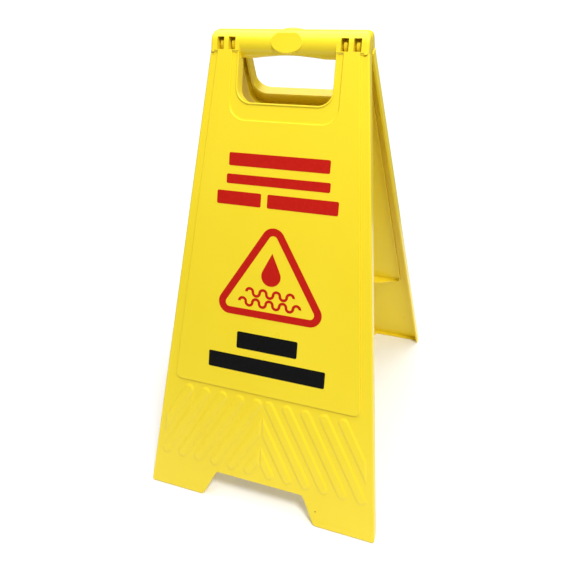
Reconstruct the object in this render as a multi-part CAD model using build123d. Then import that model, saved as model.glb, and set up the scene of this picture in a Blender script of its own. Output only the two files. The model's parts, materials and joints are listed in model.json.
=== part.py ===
from build123d import *
import os
from math import cos, radians, sin, sqrt, tan

# A folding wet floor sign in moulded plastic, standing open on the floor.
# X runs along the hinge, the front panel faces -Y, Z is up and z = 0 is the floor.
#
# Each panel is modelled upright about its hinge axis before it is leaned into place: X across,
# Z up the panel, the outer face towards -Y. "Depth" is the distance from the hinge axis plane
# towards the outer face, and "drop" is the distance down the panel from the hinge axis.

# ---- Driving dimensions, millimetres and degrees
LEAN = 19.4                 # each open panel, from upright
LEG_DROP = 592.4            # outer lower edge of a foot
WALL = 2.5                  # moulded wall
BORDER_DEPTH = 14.0         # outer face of the border
FIELD_RISE = 2.0            # raised field, above the border; the hinge barrel is flush with it
EDGE_DEPTH = 0.3            # free edges of the flanges, short of the hinge axis plane
EDGE_ROUND = 2.0            # rounding along the outside of the panel
STEP_ROUND = 0.8            # rounding along raised steps

SHOULDER_DROP = 13.0        # where the straight side edge starts, under the ears
SHOULDER_HALF = 94.5        # half width there
FOOT_HALF = 158.2           # half width at LEG_DROP

EAR_INNER_X = 57.5          # the carrying bar spans between the ears
EAR_SETBACK = 1.0           # from the shoulder of the side edge
EAR_DROP = 12.0             # lower edge of an ear
EAR_CORNER_R = 10.0
EAR_ROUND = 3.0             # rounding around the outer end of an ear
EAR_END_WALL = 5.0
MEETING_GAP = 0.4           # between the two panels where they stop against each other when open
STOP_LIP = 4.0              # depth of the face they stop on
BAR_ARCH_RISE = 3.0         # how far the bar's underside arches up in the middle
BAR_ARCH_HALF = 42.0
BOSS_HALF_X = 19.0          # blank oval boss on the bar, flat in front and crowned above
BOSS_HALF_Z = 12.4
BOSS_RISE = 0.5
BOSS_CROWN = 3.0

WINDOW_DROP = 67.5          # lower edge of the hand hole
WINDOW_CORNER_R = 17.0
RIM_WIDTH = 2.2             # bead around the hand hole
RIM_RISE = 1.2
RIM_ROUND = 0.9
RECESS_SIDE_MARGIN = 8.5    # from the hand hole to the edge of the field around it
RECESS_FOOT_MARGIN = 20.5
RECESS_CORNER_R = 20.0

FIELD_TOP_DROP = 6.0
FIELD_TOP_MARGIN = 10.0     # from the side edge of the panel
FIELD_BOTTOM_MARGIN = 14.8
FIELD_CORNER_R = 8.0
APRON_HEIGHT = 164.9        # from LEG_DROP up to the lower edge of the field

NOTCH_HEIGHT = 39.2         # from LEG_DROP up to the top of the notch between the feet
NOTCH_TOP_HALF = 60.7
NOTCH_FOOT_HALF = 79.0      # half width at LEG_DROP
NOTCH_CORNER_R = 6.0
FOOT_INNER_R = 5.5          # corners of a foot's sole, beside the notch and outside
FOOT_OUTER_R = 3.0
SOLE_DEPTH = 6.0            # the sole runs from the skin in to this depth

RIB = 2.0                   # stiffening ribs
STILE_EDGE_DEPTH = 1.5      # free edge of the ribs beside the hand hole
FRAME_EDGE_DEPTH = 8.5      # free edge of the low ribs behind the edge of the field
SHELF_EDGE_DEPTH = 1.5      # free edge of the deep rib along the lower edge of the field
SHELF_TAPER = 34.0          # length over which its ends run out

BAND_PITCH = 24.3           # raised chevron bands over the feet
BAND_WIDTH = 14.0
BAND_RISE = 1.5
BAND_FLANK_ANGLE = 62.0     # its sloping flanks, from upright
BAND_ANGLE = 30.0           # from the panel's centre line
BAND_TOP_GAP = 13.0         # from the lower edge of the field to the centres of the tops
BAND_FOOT_HEIGHT = 56.0     # from LEG_DROP up to the centres of the lower ends
BAND_FIRST_X = 8.0          # clear of the centre line by more than half a band
BAND_SIDE_MARGIN = 8.0
BANDS_OUTWARD = 5           # tops in the row on each side of the centre
BANDS_CENTRE = 2            # more below them, cut off at the centre line

PIN_R = 6.5                 # hinge pins, moulded across the front panel's ears
PIN_CLEARANCE = 0.1
HUB_WALL = 2.1              # rib around a pin
HOOK_WALL = 4.2             # radial thickness of a hook
HOOK_WIDTH = 4.0
HOOK_TIP_ANGLE = 134.0      # about the hinge axis, from the rear panel's outward side
HOOK_ROOT_ANGLE = -34.0
HINGE_GAP = 0.25            # from the first rib beside a slot to the other panel's wall
SLOT_WIDTH = 8.6            # slots in the front panel's ears, one in front of each hook
SLOT_PITCH = 14.2
SLOT_RISE = 5.0             # above and below the hinge axis
SLOT_FALL = 9.0

INK = 0.15                  # printed ink
INK_CORNER_R = 2.0
HEADING_BARS = (            # printed bars: left, right, top drop, bottom drop
    (-62.5, 62.5, 126.0, 141.5),
    (-64.5, 64.5, 151.5, 163.0),
    (-76.0, -19.0, 172.0, 188.5),
    (-11.0, 76.0, 172.0, 188.5),
)
LOWER_BARS = (
    (-40.0, 40.0, 347.5, 369.5),
    (-77.5, 77.5, 379.5, 401.0),
)
TRIANGLE_TOP_DROP = 198.0   # printed triangle, before its corners are rounded
TRIANGLE_BOTTOM_DROP = 326.0
TRIANGLE_HALF = 79.0
TRIANGLE_CORNER_R = 15.0
TRIANGLE_LINE = 9.3
WATER_DROP_DROP = 271.0     # printed water drop: middle of its round part
WATER_DROP_R = 12.5
WATER_DROP_REACH = 2.3      # tip above the middle, in radii
RIPPLE_R = 4.4              # printed ripples, made of half rings
RIPPLE_LINE = 3.4
RIPPLES = ((294.0, 7), (307.0, 9))      # drop and number of half rings

# ---- Worked out from them
AXIS_HEIGHT = LEG_DROP * cos(radians(LEAN)) - BORDER_DEPTH * sin(radians(LEAN))
FIELD_DEPTH = BORDER_DEPTH + FIELD_RISE
BARREL_R = FIELD_DEPTH                # outside of the carrying bar and of the ears
EAR_OUTER_X = SHOULDER_HALF - EAR_SETBACK
SIDE_SLOPE = (FOOT_HALF - SHOULDER_HALF) / (LEG_DROP - SHOULDER_DROP)
FIELD_BOTTOM_DROP = LEG_DROP - APRON_HEIGHT
NOTCH_DROP = LEG_DROP - NOTCH_HEIGHT
NOTCH_SLOPE = (NOTCH_FOOT_HALF - NOTCH_TOP_HALF) / NOTCH_HEIGHT
BAND_TOP_DROP = FIELD_BOTTOM_DROP + BAND_TOP_GAP
BAND_FOOT_DROP = LEG_DROP - BAND_FOOT_HEIGHT
FOOT_ALLOWANCE = 2 * FIELD_DEPTH      # extra leg length, trimmed off by the floor
HOOK_BORE = PIN_R + PIN_CLEARANCE
HOOK_R = HOOK_BORE + HOOK_WALL
FIRST_SLOT_X = EAR_INNER_X + WALL + HINGE_GAP + RIB + SLOT_WIDTH / 2
SLOT_MIDDLES = (FIRST_SLOT_X, FIRST_SLOT_X + SLOT_PITCH)
REACH = 2 * BARREL_R                  # longer than anything in a hinge section
EVERYWHERE = 4 * LEG_DROP             # larger than the sign

SECTION = Plane(origin=(0, 0, 0), x_dir=(0, -1, 0), z_dir=(-1, 0, 0))   # depth, height


# ---- Helpers
def slab(face, depth_from, depth_to):
    """A flat outline drawn in X and height, made solid between two depths."""
    return extrude(Plane.XZ.offset(depth_from) * face, amount=depth_to - depth_from, dir=(0, -1, 0))


def across(section, x_from, x_to):
    """A hinge section drawn in depth and height, made solid between two places in X."""
    return Pos((x_from + x_to) / 2, 0, 0) * extrude(SECTION * section, amount=(x_to - x_from) / 2, both=True)


def both_sides(solid):
    return solid + mirror(solid, about=Plane.YZ)


def symmetric(right_side):
    """A closed outline from its right-hand points, listed from the top down."""
    left_side = [(-x, z) for x, z in reversed(right_side)]
    return Polygon(*right_side, *left_side, align=None)


def round_corners(face, height, radius, within=1.0):
    """Rounds the corners of an outline that lie at one height."""
    corners = face.vertices().filter_by(lambda corner: abs(corner.Y - height) < within)
    return fillet(corners, radius)


def outer_edges(solid):
    return solid.faces().sort_by(Axis.Y)[0].edges()


def side_half(drop):
    return SHOULDER_HALF + (drop - SHOULDER_DROP) * SIDE_SLOPE


def above(drop):
    """Everything on the hinge side of a drop."""
    block = Box(EVERYWHERE, EVERYWHERE, EVERYWHERE, align=(Align.CENTER, Align.CENTER, Align.MIN))
    return Pos(0, 0, -drop) * block


def below_floor(rise):
    """Everything under a level this far above the floor, in a panel's own frame."""
    ground = Box(EVERYWHERE, EVERYWHERE, EVERYWHERE, align=(Align.CENTER, Align.CENTER, Align.MAX))
    return Rot(LEAN, 0, 0) * Pos(0, 0, rise - AXIS_HEIGHT) * ground


# ---- Flat outlines, in X and height (minus the drop)
def panel_outline():
    foot_drop = LEG_DROP + FOOT_ALLOWANCE
    outline = symmetric([
        (side_half(0), 0),
        (side_half(foot_drop), -foot_drop),
        (NOTCH_FOOT_HALF + FOOT_ALLOWANCE * NOTCH_SLOPE, -foot_drop),
        (NOTCH_TOP_HALF, -NOTCH_DROP),
    ])
    return round_corners(outline, -NOTCH_DROP, NOTCH_CORNER_R)


def rounded_u(half, drop, corner_r):
    """An upright U, open at the hinge, that bounds the hand hole and what follows its edge."""
    face = symmetric([(half, BARREL_R), (half, -drop)])
    return round_corners(face, -drop, corner_r)


def field_outline():
    face = symmetric([
        (side_half(FIELD_TOP_DROP) - FIELD_TOP_MARGIN, -FIELD_TOP_DROP),
        (side_half(FIELD_BOTTOM_DROP) - FIELD_BOTTOM_MARGIN, -FIELD_BOTTOM_DROP),
    ])
    return round_corners(face, -FIELD_BOTTOM_DROP, FIELD_CORNER_R)


def window_outline(margin=0.0):
    return rounded_u(EAR_INNER_X + margin, WINDOW_DROP + margin, WINDOW_CORNER_R + margin)


def recess_outline():
    return rounded_u(EAR_INNER_X + RECESS_SIDE_MARGIN, WINDOW_DROP + RECESS_FOOT_MARGIN, RECESS_CORNER_R)


# ---- Hinge sections, in depth and height
def half_space():
    """The part of a hinge section that one panel may fill: clear of its twin, open or folded."""
    lean = radians(LEAN)
    apex_height = (EDGE_DEPTH * cos(lean) - MEETING_GAP / 2) / sin(lean)
    return Polygon(
        (EDGE_DEPTH, apex_height), (EDGE_DEPTH, -REACH), (REACH, -REACH), (REACH, REACH),
        (EDGE_DEPTH + REACH * sin(lean), apex_height + REACH * cos(lean)), align=None)


def stop_strip():
    """A strip one wall thick along the plane where the open panels meet."""
    strip = Rectangle(WALL, REACH, align=(Align.MIN, Align.MIN))
    return Rot(0, 0, -LEAN) * Pos(MEETING_GAP / 2, 0, 0) * strip


def barrel_wall():
    ring = Circle(BARREL_R) - Circle(BARREL_R - WALL)
    lip = stop_strip() & (Circle(BARREL_R) - Circle(BARREL_R - STOP_LIP))
    return (ring + lip) & half_space()


def ear_fill(outer_depth, drop):
    """An ear's whole section, down to a drop."""
    cheek = Rectangle(outer_depth, drop, align=(Align.MIN, Align.MAX))
    cap = Circle(outer_depth) & Pos(0, BARREL_R / 2) * Rectangle(2 * REACH, BARREL_R)
    return (cheek + cap) & half_space()


# ---- Sub-parts of a panel
def foot_corners(body, beside_notch):
    """The corner edges of the soles, beside the notch or at the outside."""
    middle_of_foot = (FOOT_HALF + NOTCH_FOOT_HALF) / 2
    low = body.edges().filter_by(lambda edge: edge.center().Z < NOTCH_HEIGHT / 2 - LEG_DROP)
    through = low.filter_by(lambda edge: edge.bounding_box().size.Y > BORDER_DEPTH / 2)
    corners = through.filter_by(lambda edge: edge.bounding_box().size.X < BORDER_DEPTH / 2)
    return corners.filter_by(lambda edge: (abs(edge.center().X) < middle_of_foot) == beside_notch)


def body_shell():
    """The border's skin with its flange all round and a sole under each foot."""
    outline = panel_outline()
    body = slab(outline, EDGE_DEPTH, BORDER_DEPTH) - below_floor(0)
    body = fillet(foot_corners(body, False), FOOT_OUTER_R)
    body = fillet(foot_corners(body, True), FOOT_INNER_R)
    body = fillet(outer_edges(body), EDGE_ROUND)
    inside = offset(outline, amount=-WALL, kind=Kind.INTERSECTION)
    hollow = slab(inside, 0, SOLE_DEPTH)
    hollow += slab(inside, SOLE_DEPTH, BORDER_DEPTH - WALL) - below_floor(WALL)
    return body - hollow


def field_plate():
    """The raised field, hollow behind, around the recess of the hand hole."""
    face = field_outline() - recess_outline()
    plate = slab(face, BORDER_DEPTH - WALL, FIELD_DEPTH)
    plate = fillet(outer_edges(plate), STEP_ROUND)
    hollow_face = offset(face, amount=-WALL, kind=Kind.INTERSECTION)
    hollow = slab(hollow_face, 0, FIELD_DEPTH - WALL)
    return plate, hollow


def shelf():
    """The deep rib along the lower edge of the field, running out at both ends."""
    half = side_half(FIELD_BOTTOM_DROP) - FIELD_BOTTOM_MARGIN - RIB
    root = BORDER_DEPTH - WALL / 2
    plan = Polygon(
        (-half, -root), (half, -root), (half - SHELF_TAPER, -SHELF_EDGE_DEPTH),
        (SHELF_TAPER - half, -SHELF_EDGE_DEPTH), align=None)
    return extrude(Plane.XY.offset(-FIELD_BOTTOM_DROP) * plan, amount=RIB, dir=(0, 0, 1))


def ribs():
    """A low frame behind the edge of the field and deeper stiles behind the recess."""
    field = field_outline()
    frame = slab(field - offset(field, amount=-RIB, kind=Kind.INTERSECTION),
                 FRAME_EDGE_DEPTH, BORDER_DEPTH - WALL / 2)
    recess = recess_outline()
    stiles = slab(offset(recess, amount=RIB, kind=Kind.INTERSECTION) - recess,
                  STILE_EDGE_DEPTH, BORDER_DEPTH - WALL / 2)
    return frame + stiles - above(EAR_DROP + WALL) + shelf()


def window_wall():
    """The flange around the hand hole, with its bead on the outer face."""
    flange = slab(window_outline(WALL) - window_outline(), EDGE_DEPTH, BORDER_DEPTH)
    bead = slab(window_outline(RIM_WIDTH) - window_outline(), BORDER_DEPTH - WALL / 2, BORDER_DEPTH + RIM_RISE)
    bead = fillet(outer_edges(bead), RIM_ROUND)
    return flange + bead - above(0)


def bar():
    """The carrying bar between the ears, with an arched underside and a blank oval boss."""
    wall = across(barrel_wall(), -EAR_INNER_X - WALL, EAR_INNER_X + WALL)
    arch_r = (BAR_ARCH_HALF ** 2 + BAR_ARCH_RISE ** 2) / (2 * BAR_ARCH_RISE)
    arch = Rot(90, 0, 0) * Cylinder(arch_r, 4 * BARREL_R)
    wall -= Pos(0, 0, -arch_r - BARREL_R + BAR_ARCH_RISE) * arch
    boss = slab(Ellipse(BOSS_HALF_X, BOSS_HALF_Z), 0, BARREL_R + BOSS_RISE)
    boss = fillet(outer_edges(boss), STEP_ROUND)
    crown = Circle(BARREL_R + BOSS_CROWN) + Rectangle(2 * REACH, 2 * REACH, align=(Align.CENTER, Align.MAX))
    boss &= across(crown & half_space(), -REACH, REACH)
    bore = across(Circle(BARREL_R - WALL), -2 * BOSS_HALF_X, 2 * BOSS_HALF_X)
    return wall + (boss - bore)


def ear_outline():
    """An ear seen from the front, its outer top corner rounded."""
    front = Rectangle(EAR_OUTER_X, BARREL_R + EAR_DROP, align=(Align.MIN, Align.MIN))
    front = Pos(0, -EAR_DROP) * front
    outer_top = front.vertices().sort_by(Axis.X)[-2:].sort_by(Axis.Y)[-1]
    return fillet(outer_top, EAR_CORNER_R)


def ear():
    """The right-hand ear: a half barrel with a wall at each end and a soft lower edge."""
    cheek_wall = Polygon(
        (FIELD_DEPTH - WALL, 0), (FIELD_DEPTH, 0), (FIELD_DEPTH, FIELD_RISE - EAR_DROP),
        (BORDER_DEPTH, -EAR_DROP), (FIELD_DEPTH - WALL, -EAR_DROP), align=None)
    upper = Pos(0, BARREL_R / 2) * Rectangle(2 * REACH, BARREL_R)
    shell = across((barrel_wall() & upper) + cheek_wall, EAR_INNER_X, EAR_OUTER_X)
    shell += across(ear_fill(BORDER_DEPTH, EAR_DROP), EAR_INNER_X, EAR_INNER_X + WALL)
    solid_end = across(ear_fill(BARREL_R, EAR_DROP), EAR_OUTER_X - EAR_END_WALL, EAR_OUTER_X)
    shell = (shell + solid_end) & slab(ear_outline(), -BARREL_R, BARREL_R)
    end_face = shell.faces().sort_by(Axis.X)[-1]
    outer = end_face.edges().filter_by(lambda edge: edge.center().Y < -BARREL_R / 2)
    return fillet(outer, EAR_ROUND)


def band(top_x):
    """One raised chevron band, from its rounded top down past the feet."""
    run = (BAND_FOOT_DROP - BAND_TOP_DROP) / cos(radians(BAND_ANGLE))
    along = Pos(run / 2, 0) * SlotCenterToCenter(run, BAND_WIDTH)
    return Pos(top_x, -BAND_TOP_DROP) * Rot(0, 0, BAND_ANGLE - 90) * along


def chevrons():
    """The right-hand row of raised bands, trimmed at the side edge and the centre."""
    room = Polygon(
        (0, -FIELD_BOTTOM_DROP), (0, -NOTCH_DROP),
        (side_half(NOTCH_DROP) - BAND_SIDE_MARGIN, -NOTCH_DROP),
        (side_half(FIELD_BOTTOM_DROP) - BAND_SIDE_MARGIN, -FIELD_BOTTOM_DROP), align=None)
    bands = []
    for count in range(-BANDS_CENTRE, BANDS_OUTWARD):
        face = band(BAND_FIRST_X + count * BAND_PITCH) & room
        foot = slab(face, BORDER_DEPTH - WALL / 2, BORDER_DEPTH)
        crest = extrude(Plane.XZ.offset(BORDER_DEPTH) * face, amount=BAND_RISE, dir=(0, -1, 0), taper=BAND_FLANK_ANGLE)
        bands.append(foot + crest)
    return bands


def panel():
    """What both panels share, upright about the hinge axis."""
    plate, plate_hollow = field_plate()
    recess_skin = recess_outline() & field_outline()
    skin = body_shell() + plate - plate_hollow
    skin += slab(recess_skin, BORDER_DEPTH - WALL, BORDER_DEPTH)
    skin += ribs()
    for raised in chevrons():
        skin += both_sides(raised)
    skin -= above(EAR_DROP - FIELD_RISE)
    skin -= slab(window_outline(), -FIELD_DEPTH, 2 * FIELD_DEPTH)
    return skin + window_wall() + bar() + both_sides(ear())


def hinge_ribs(slot_x):
    """The two ribs beside one slot and the pin they carry across it."""
    inner = slot_x - SLOT_WIDTH / 2
    outer = slot_x + SLOT_WIDTH / 2
    hub = Circle(PIN_R + HUB_WALL)
    cheek = ear_fill(BARREL_R - WALL / 2, EAR_DROP)
    ribs_and_pin = across(Circle(PIN_R), inner - RIB, outer + RIB)
    for side in (inner - RIB, outer):
        ribs_and_pin += across(cheek, side, side + RIB) + across(hub, side, side + RIB)
    return ribs_and_pin


def slot_cut(slot_x):
    face = Pos(slot_x, SLOT_RISE) * Rectangle(SLOT_WIDTH, SLOT_RISE + SLOT_FALL, align=(Align.CENTER, Align.MAX))
    return slab(face, BARREL_R - 2 * WALL, 2 * BARREL_R)


def hook(slot_x):
    """A snap hook that hangs round a pin, on an arm from the rear panel's ear."""
    ring = Circle(HOOK_R) - Circle(HOOK_BORE)
    start = radians(HOOK_ROOT_ANGLE)
    end = radians(HOOK_TIP_ANGLE)
    mouth = Polygon(
        (0, 0), (REACH * cos(start), REACH * sin(start)), (REACH, REACH), (-REACH / 4, REACH),
        (REACH * cos(end), REACH * sin(end)), align=None)
    arm = Pos(0, -HOOK_BORE - 0.2 * HOOK_WALL) * Rectangle(
        BARREL_R - WALL / 2, 0.8 * HOOK_WALL, align=(Align.MIN, Align.MAX))
    return across((ring - mouth) + arm, slot_x - HOOK_WIDTH / 2, slot_x + HOOK_WIDTH / 2)


def front_panel():
    solid = panel()
    for slot_x in SLOT_MIDDLES:
        solid -= both_sides(slot_cut(slot_x))
        solid += both_sides(hinge_ribs(slot_x))
    return solid


def rear_panel():
    solid = panel()
    for slot_x in SLOT_MIDDLES:
        solid += both_sides(hook(slot_x))
    return solid


# ---- Printing on the field: plain bars and a water sign, no lettering
def ink(face):
    return slab(face, FIELD_DEPTH, FIELD_DEPTH + INK)


def printed_bars(bars):
    faces = []
    for left, right, top_drop, bottom_drop in bars:
        bar_face = RectangleRounded(right - left, bottom_drop - top_drop, INK_CORNER_R)
        faces.append(Pos((left + right) / 2, -(top_drop + bottom_drop) / 2) * bar_face)
    return ink(Sketch() + faces)


def printed_triangle():
    face = Polygon(
        (0, -TRIANGLE_TOP_DROP), (TRIANGLE_HALF, -TRIANGLE_BOTTOM_DROP),
        (-TRIANGLE_HALF, -TRIANGLE_BOTTOM_DROP), align=None)
    outer = fillet(face.vertices(), TRIANGLE_CORNER_R)
    return outer - offset(outer, amount=-TRIANGLE_LINE)


def printed_water_drop():
    """A circle drawn up to a point."""
    touch_height = WATER_DROP_R / WATER_DROP_REACH
    touch_half = sqrt(WATER_DROP_R ** 2 - touch_height ** 2)
    tip = (0, WATER_DROP_R * WATER_DROP_REACH)
    right, left = (touch_half, touch_height), (-touch_half, touch_height)
    edge = Line(tip, right) + ThreePointArc(right, (0, -WATER_DROP_R), left) + Line(left, tip)
    return Pos(0, -WATER_DROP_DROP) * make_face(edge)


def printed_ripple(drop, half_rings):
    """A rippled line of half rings, alternately up and down."""
    ring = Circle(RIPPLE_R + RIPPLE_LINE / 2) - Circle(RIPPLE_R - RIPPLE_LINE / 2)
    reach = 2 * RIPPLE_R
    upper = ring & Pos(0, reach) * Rectangle(2 * reach, 2 * reach)
    lower = ring & Pos(0, -reach) * Rectangle(2 * reach, 2 * reach)
    pieces = []
    for count in range(half_rings):
        along = (count - (half_rings - 1) / 2) * reach
        pieces.append(Pos(along, -drop) * (upper if count % 2 == 0 else lower))
    return pieces


def water_sign():
    sign = printed_triangle() + printed_water_drop()
    for drop, half_rings in RIPPLES:
        sign += printed_ripple(drop, half_rings)
    return ink(sign)


# ---- Assembly, standing open
def place_front(solid):
    return Pos(0, 0, AXIS_HEIGHT) * Rot(-LEAN, 0, 0) * solid


def place_rear(solid):
    return Pos(0, 0, AXIS_HEIGHT) * Rot(LEAN, 0, 0) * mirror(solid, about=Plane.XZ)


def main():
    os.makedirs("parts", exist_ok=True)
    nodes = {
        "front_panel": place_front(front_panel()),
        "rear_panel": place_rear(rear_panel()),
    }
    prints = {
        "heading_bars": printed_bars(HEADING_BARS),
        "water_sign": water_sign(),
        "lower_bars": printed_bars(LOWER_BARS),
    }
    for name, solid in prints.items():
        nodes["front_" + name] = place_front(solid)
        nodes["rear_" + name] = place_rear(solid)
    for name, solid in nodes.items():
        export_step(solid, f"parts/{name}.step")


main()
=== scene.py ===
import json
from math import cos, radians, sin

import bpy
from mathutils import Matrix, Vector

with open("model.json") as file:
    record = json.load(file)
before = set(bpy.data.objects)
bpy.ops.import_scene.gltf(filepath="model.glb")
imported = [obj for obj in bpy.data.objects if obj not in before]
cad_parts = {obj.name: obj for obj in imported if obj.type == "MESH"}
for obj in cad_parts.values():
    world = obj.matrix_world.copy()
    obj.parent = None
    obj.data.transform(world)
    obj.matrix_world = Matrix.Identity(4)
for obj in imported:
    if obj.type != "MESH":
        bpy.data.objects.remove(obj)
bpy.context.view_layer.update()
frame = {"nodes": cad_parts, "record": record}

MM = 0.001

# ---- Driving values: metres, radians and watts
STANDPOINT = Vector((0.2174, -0.6379, 0.6737))     # where the sign is seen from
AZIMUTH, TILT, ROLL = radians(20.93), radians(29.92), radians(-3.01)
SENSOR, LENS = 36.0, 35.6                          # in mm
SHIFT = (0.0089, -0.0639)                          # as shares of the picture's width
CLIP = (0.05, 50.0)

FOOT_HOLE_PLACE = (0.080, -0.2025, 0.0211)             # a small hole in the right front foot, painted as a dark spot of shade
HOLE_SHADE_R = 0.9 * MM
HOLE_SHADE_EDGE = 0.3                                   # softness of its edge, as a share of its radius

# The two tones that each finish runs between
YELLOW = (0.900, 0.690, 0.020), (0.925, 0.718, 0.026)
RED = (0.50, 0.009, 0.004), (0.54, 0.012, 0.006)
BLACK = (0.002, 0.002, 0.002), (0.004, 0.004, 0.004)
FLOOR_WHITE = (0.88, 0.88, 0.88), (0.90, 0.90, 0.90)

# Single colours
# painted shade: the dark colour of a small hole's shaded inside
HOLE_SHADE_COLOUR = (0.10, 0.05, 0.01)
WHITE = (1.0, 1.0, 1.0, 1.0)

FLOOR_SIZE = 1.4
ROOM_SEEN, ROOM_CAST = 1.1, 0.25                   # strength behind the sign, and of its light on it
KEY_PLACE, KEY_AIM, KEY_SIZE, KEY_POWER = (0.62, -0.74, 1.74), (0.0, -0.1, 0.25), 0.4, 20.0
TOP_PLACE, TOP_AIM, TOP_SIZE, TOP_POWER = (0.0, 0.3, 2.0), (0.0, 0.0, 0.0), 2.2, 46.0


# ---- Material building blocks
def new_material(name):
    """A material with its tree, its shader and the place on the piece in metres."""
    material = bpy.data.materials.new(name)
    material.use_nodes = True
    tree = material.node_tree
    shader = tree.nodes["Principled BSDF"]
    place = tree.nodes.new("ShaderNodeTexCoord")
    return material, tree, shader, place.outputs["Object"]


def noise(tree, where, scale, detail=3.0, roughness=0.5, stretch=None):
    """Cloudy values from 0 to 1, with features of about 1 / scale metres."""
    if stretch:
        mapping = tree.nodes.new("ShaderNodeMapping")
        mapping.inputs["Scale"].default_value = stretch
        tree.links.new(where, mapping.inputs["Vector"])
        where = mapping.outputs["Vector"]
    node = tree.nodes.new("ShaderNodeTexNoise")
    node.inputs["Scale"].default_value = scale
    node.inputs["Detail"].default_value = detail
    node.inputs["Roughness"].default_value = roughness
    tree.links.new(where, node.inputs["Vector"])
    return node.outputs["Fac"]


def tones(tree, value, colours, start, end):
    """The first colour up to start, the second from end on, and a blend between them."""
    node = tree.nodes.new("ShaderNodeValToRGB")
    for element, position, colour in zip(node.color_ramp.elements, (start, end), colours):
        element.position = position
        element.color = (*colour, 1.0)
    tree.links.new(value, node.inputs["Fac"])
    return node.outputs["Color"]


def levels(tree, value, low, high):
    """A value from 0 to 1, brought between low and high."""
    node = tree.nodes.new("ShaderNodeMapRange")
    node.inputs["To Min"].default_value = low
    node.inputs["To Max"].default_value = high
    tree.links.new(value, node.inputs["Value"])
    return node.outputs["Result"]


def bump(tree, height, distance, normal=None):
    """Relief of the given height, on top of an earlier one where there is one."""
    node = tree.nodes.new("ShaderNodeBump")
    node.inputs["Distance"].default_value = distance
    node.inputs["Strength"].default_value = 1.0
    tree.links.new(height, node.inputs["Height"])
    if normal:
        tree.links.new(normal, node.inputs["Normal"])
    return node.outputs["Normal"]


def shade_spot(tree, where, place, radius):
    """One inside a small round spot, nought outside it."""
    away = tree.nodes.new("ShaderNodeVectorMath")
    away.operation = "DISTANCE"
    away.inputs[1].default_value = place
    tree.links.new(where, away.inputs[0])
    spot = tree.nodes.new("ShaderNodeMapRange")
    spot.inputs["From Min"].default_value = (1 - HOLE_SHADE_EDGE) * radius
    spot.inputs["From Max"].default_value = (1 + HOLE_SHADE_EDGE) * radius
    spot.inputs["To Min"].default_value = 1.0
    spot.inputs["To Max"].default_value = 0.0
    tree.links.new(away.outputs["Value"], spot.inputs["Value"])
    return spot.outputs["Result"]


def mixed(tree, factor, under, over):
    """The under colour, with the plain over colour on it where the factor is one."""
    node = tree.nodes.new("ShaderNodeMix")
    node.data_type = "RGBA"
    colours = [socket for socket in node.inputs if socket.type == "RGBA"]
    tree.links.new(factor, node.inputs[0])
    tree.links.new(under, colours[0])
    colours[1].default_value = (*over, 1.0)
    return next(socket for socket in node.outputs if socket.type == "RGBA")


# ---- Finishes
def moulded_yellow():
    """Satin polypropylene: an even yellow, a faint orange peel and slow waves from cooling, with the
    shade of a small hole painted as a dark spot.
    """
    material, tree, shader, where = new_material("moulded_yellow")
    flow = noise(tree, where, scale=9.0, detail=2.0, stretch=(1.0, 1.0, 0.5))
    tint = tones(tree, flow, YELLOW, start=0.3, end=0.7)
    # painted shade: the shaded inside of a small hole in the front foot, drawn as a dark spot in the
    # base colour
    hole_shade = shade_spot(tree, where, FOOT_HOLE_PLACE, HOLE_SHADE_R)
    tree.links.new(mixed(tree, hole_shade, tint, HOLE_SHADE_COLOUR), shader.inputs["Base Color"])
    rub = noise(tree, where, scale=45.0, detail=2.0)
    tree.links.new(levels(tree, rub, low=0.26, high=0.32), shader.inputs["Roughness"])
    peel = bump(tree, noise(tree, where, scale=420.0, detail=1.0), distance=0.006 * MM)
    waves = bump(tree, noise(tree, where, scale=14.0, detail=1.0), distance=0.3 * MM, normal=peel)
    tree.links.new(waves, shader.inputs["Normal"])
    shader.inputs["Specular IOR Level"].default_value = 0.38
    return material


def printed_ink(name, colours):
    """Screen printed ink: slightly uneven cover, flatter than the plastic."""
    material, tree, shader, where = new_material(name)
    cover = noise(tree, where, scale=260.0, detail=4.0, roughness=0.6)
    tree.links.new(tones(tree, cover, colours, start=0.35, end=0.65), shader.inputs["Base Color"])
    tree.links.new(levels(tree, cover, low=0.45, high=0.55), shader.inputs["Roughness"])
    grain = bump(tree, noise(tree, where, scale=900.0, detail=2.0), distance=0.02 * MM)
    tree.links.new(grain, shader.inputs["Normal"])
    shader.inputs["Specular IOR Level"].default_value = 0.12
    return material


def pale_floor():
    """Matt white, almost even."""
    material, tree, shader, where = new_material("pale_floor")
    cloud = noise(tree, where, scale=3.0)
    tree.links.new(tones(tree, cloud, FLOOR_WHITE, start=0.3, end=0.7), shader.inputs["Base Color"])
    shader.inputs["Roughness"].default_value = 0.9
    shader.inputs["Specular IOR Level"].default_value = 0.0
    return material


FINISHES = {
    "yellow_plastic": moulded_yellow(),
    "red_ink": printed_ink("red_ink", RED),
    "black_ink": printed_ink("black_ink", BLACK),
}

for part in frame["record"]["subparts"]:
    node = frame["nodes"][part["node"]]
    for slot in node.material_slots:
        slot.material = FINISHES[part["material_slot"]]


# ---- Floor, light and camera
def floor():
    bpy.ops.mesh.primitive_plane_add(size=FLOOR_SIZE)
    plane = bpy.context.object
    plane.name = "floor"
    plane.data.materials.append(pale_floor())


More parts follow.
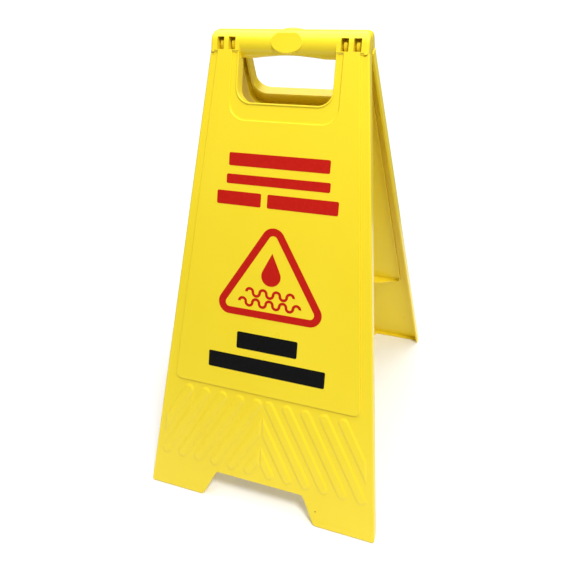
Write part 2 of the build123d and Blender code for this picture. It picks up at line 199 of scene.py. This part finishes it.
def softbox(name, place, aim, size, power):
    """A square lamp at a place, turned to its aim."""
    light = bpy.data.lights.new(name, "AREA")
    light.shape = "RECTANGLE"
    light.size, light.size_y = size, size
    light.energy = power
    box = bpy.data.objects.new(name, light)
    bpy.context.scene.collection.objects.link(box)
    box.location = place
    box.rotation_euler = (Vector(aim) - Vector(place)).to_track_quat("-Z", "Y").to_euler()


def white_room(seen, cast):
    """A world that looks white behind the sign but only sheds a soft part of that on it."""
    world = bpy.data.worlds.new("white_room")
    world.use_nodes = True
    tree = world.node_tree
    behind = tree.nodes["Background"]
    around = tree.nodes.new("ShaderNodeBackground")
    for background, strength in ((behind, seen), (around, cast)):
        background.inputs["Color"].default_value = WHITE
        background.inputs["Strength"].default_value = strength
    path = tree.nodes.new("ShaderNodeLightPath")
    choice = tree.nodes.new("ShaderNodeMixShader")
    tree.links.new(path.outputs["Is Camera Ray"], choice.inputs[0])
    tree.links.new(around.outputs[0], choice.inputs[1])
    tree.links.new(behind.outputs[0], choice.inputs[2])
    tree.links.new(choice.outputs[0], tree.nodes["World Output"].inputs["Surface"])
    bpy.context.scene.world = world


def camera():
    """Stands at STANDPOINT, turned by the azimuth, tilted down and rolled a little."""
    data = bpy.data.cameras.new("camera")
    data.sensor_width = SENSOR
    data.lens = LENS
    data.shift_x, data.shift_y = SHIFT
    data.clip_start, data.clip_end = CLIP
    back = Vector((sin(AZIMUTH) * cos(TILT), -cos(AZIMUTH) * cos(TILT), sin(TILT)))
    level = Vector((cos(AZIMUTH), sin(AZIMUTH), 0.0))
    upright = back.cross(level)
    right = cos(ROLL) * level + sin(ROLL) * upright
    up = -sin(ROLL) * level + cos(ROLL) * upright
    turn = Matrix((right, up, back)).transposed()
    view = bpy.data.objects.new("camera", data)
    bpy.context.scene.collection.objects.link(view)
    view.matrix_world = Matrix.Translation(STANDPOINT) @ turn.to_4x4()
    bpy.context.scene.camera = view


floor()
white_room(ROOM_SEEN, ROOM_CAST)
softbox("key_light", KEY_PLACE, KEY_AIM, KEY_SIZE, KEY_POWER)
softbox("top_light", TOP_PLACE, TOP_AIM, TOP_SIZE, TOP_POWER)
camera()
bpy.context.scene.view_settings.view_transform = "Standard"
